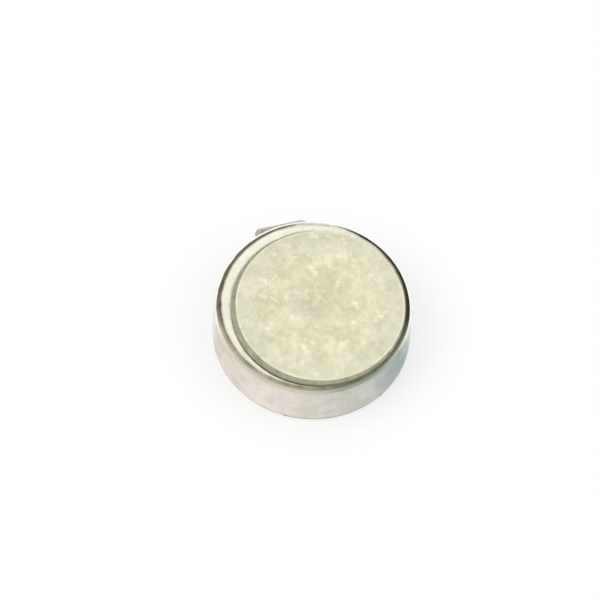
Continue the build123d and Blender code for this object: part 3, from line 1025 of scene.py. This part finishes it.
def mirrored_tones(f):
    """The tones that the motor mirrors from the sheet round it, as a studio's cards would give."""
    right = f.part(f.place, view_right)
    nearer = f.part(f.place, view_forwards)
    heading = f.fit(f.math("ARCTAN2", right, nearer), -math.pi / 2, math.pi / 2)
    tones = f.node("ValToRGB", {0: heading})
    # four broad tones, evenly spaced from the left of the view round the front to its right
    ramp_stops(tones.color_ramp, "EASE", [
        (0.0, tint(200, 195, 185)),
        (1.0, tint(130, 150, 155)),
        (1 / 3, tint(215, 210, 205)),
        (2 / 3, tint(185, 185, 180)),
    ])
    clear_of_base = f.fit(f.radius, base_radius - 0.1, base_radius)
    in_front = f.math("MULTIPLY", f.fit(nearer, -1.0, 1.5), clear_of_base)
    return f.mix(in_front, tint(228, 228, 226), tones.outputs[0])


def floor_finish():
    """A pale, lit sheet that is seen from above only and has its own tones in reflections."""
    f = Finish("floor_paper")
    clouds = f.noise(40.0, detail=2.0)
    pale = f.mix(clouds, tint(251, 251, 250), tint(253, 253, 252))
    f.finished(pale, f.fit(clouds, 0.3, 0.7, 0.8, 0.9))
    paths = f.node("LightPath", {}).outputs
    light_table = f.node("Emission", {"Strength": 1.02}).outputs[0]
    table_share = f.math("MULTIPLY", paths["Is Camera Ray"], 0.6)
    lit = f.node("MixShader", {0: table_share, 1: f.shader.outputs[0], 2: light_table}).outputs[0]
    mirrored = f.node("Emission", {"Color": mirrored_tones(f), "Strength": 1.55}).outputs[0]
    seen = f.node("MixShader", {0: paths["Is Glossy Ray"], 1: lit, 2: mirrored}).outputs[0]
    clear = f.node("BsdfTransparent", {}).outputs[0]
    below = f.node("NewGeometry", {}).outputs["Backfacing"]
    one_sided = f.node("MixShader", {0: below, 1: seen, 2: clear}).outputs[0]
    f.feed(f.tree.nodes["Material Output"].inputs["Surface"], one_sided)
    return f.material


floor_reach = 600.0
floor_gap = 0.004
floor_mesh = bpy.data.meshes.new("floor")
floor_corners = [(-1, -1), (1, -1), (1, 1), (-1, 1)]
floor_points = [Vector((x * floor_reach, y * floor_reach, -floor_gap)) * MM for x, y in floor_corners]
floor_mesh.from_pydata(floor_points, [], [(0, 1, 2, 3)])
floor_mesh.materials.append(floor_finish())
floor = bpy.data.objects.new("floor", floor_mesh)
bpy.context.scene.collection.objects.link(floor)


def softbox(name, azimuth, elevation, distance, width, power, colour, reflected):
    """A square area lamp that faces the motor and that the camera doesn't see."""
    data = bpy.data.lights.new(name, "AREA")
    data.size = width * MM
    data.energy = power
    data.color = colour
    lamp = bpy.data.objects.new(name, data)
    bpy.context.scene.collection.objects.link(lamp)
    lamp.rotation_mode = "QUATERNION"
    lamp.rotation_quaternion = towards(azimuth, elevation).to_track_quat("Z", "Y")
    lamp.location = towards(azimuth, elevation) * distance * MM
    lamp.visible_camera = False
    lamp.visible_glossy = reflected


# the flat end mirrors this lamp into the camera, and the drawn corner round it mirrors the dim room
softbox(
    "end_lamp", view_azimuth + 194, view_elevation + 3,
    distance=350, width=120, power=0.023, colour=(1.0, 0.985, 0.93), reflected=True,
)
softbox(
    "key_lamp", view_azimuth - 70, 55,
    distance=400, width=260, power=0.45, colour=(1.0, 0.97, 0.93), reflected=False,
)
softbox(
    "fill_lamp", view_azimuth + 80, 45,
    distance=450, width=320, power=0.27, colour=(0.9, 0.96, 1.0), reflected=False,
)


def room_tone(room):
    """What reflections see of the room: pale below and dim overhead, with a halo round end_lamp."""
    heading = room.node("TexCoord", {}).outputs["Generated"]
    right = room.part(heading, view_right)
    nearer = room.part(heading, view_forwards)
    low_front = room.mix(room.fit(right, 0.1, 0.5), tint(206, 202, 192), tint(150, 162, 158))
    low_tone = room.mix(room.fit(nearer, -0.3, 0.3), tint(252, 252, 248), low_front)
    side_shade = room.mix(room.fit(right, -0.2, 0.2), tint(112, 106, 93), tint(50, 52, 46))
    front_shade = room.mix(room.fit(right, -0.3, 0.3), tint(188, 183, 165), tint(130, 135, 119))
    far_shade = room.mix(room.fit(nearer, -0.45, -0.1), side_shade, front_shade)
    halo = room.fit(room.part(heading, 0.88 * up - 0.48 * view_forwards), 0.84, 0.98)
    shade = room.mix(halo, far_shade, tint(182, 180, 168))
    aside = room.math("ABSOLUTE", right)
    off_back = room.math("MAXIMUM", room.fit(nearer, -0.66, -0.5), room.fit(aside, 0.06, 0.16))
    leaned = room.part(heading, up - 0.76 * view_forwards)
    overhead = room.math("MULTIPLY", room.fit(leaned, 0.09, 0.41), off_back)
    return room.mix(overhead, low_tone, shade)


def studio_room():
    """A room that looks pale to the camera, lights evenly, and has its own tones in reflections."""
    world = bpy.data.worlds.new("studio")
    world.use_nodes = True
    bpy.context.scene.world = world
    world.node_tree.nodes.clear()
    room = Shading(world.node_tree)
    reflected = room.node("Background", {"Color": room_tone(room), "Strength": 1.2}).outputs[0]
    lighting = room.node("Background", {"Color": (0.97, 0.985, 1.0, 1.0), "Strength": 0.78}).outputs[0]
    backdrop = room.node("Background", {"Color": (0.99, 0.99, 0.99, 1.0), "Strength": 1.0}).outputs[0]
    rays = room.node("LightPath", {}).outputs
    unseen = room.node("MixShader", {0: rays["Is Glossy Ray"], 1: lighting, 2: reflected}).outputs[0]
    shown = room.node("MixShader", {0: rays["Is Camera Ray"], 1: unseen, 2: backdrop}).outputs[0]
    room.node("OutputWorld", {"Surface": shown})


studio_room()
bpy.context.scene.view_settings.view_transform = "Standard"
